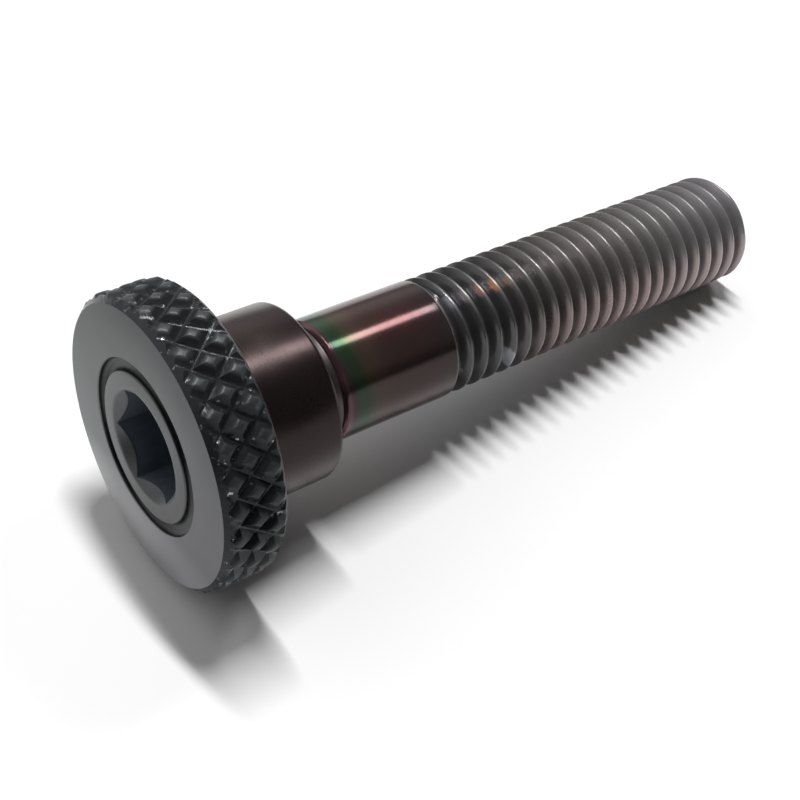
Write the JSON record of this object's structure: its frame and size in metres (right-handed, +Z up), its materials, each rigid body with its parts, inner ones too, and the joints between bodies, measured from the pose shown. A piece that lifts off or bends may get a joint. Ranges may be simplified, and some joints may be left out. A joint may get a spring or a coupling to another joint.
{
  "type": "seatpost clamp bolt",
  "caption": "Clamp screw with a wide diamond-knurled head, a hexagon socket in a ringed face, a short collar, a plain shank and a coarse screw thread, lying at rest.",
  "frame": {"origin": "middle of the lying bolt's bounding box, on the surface it lies on", "axes": "+Z up; the bolt points along +X with its head at -X, its axis dipping 7 degrees towards the tip"},
  "size_m": [0.0496, 0.0184, 0.0186],
  "materials": {
    "black_plated_steel": "black plated steel: satin grey on the head's face, glossy black on the knurl and first threads, iridescent violet, green and copper on the collar and shank, brown-grey on the thread's far end"
  },
  "bodies": {
    "root": {"clamp_bolt": "black_plated_steel"}
  },
  "joints": []
}
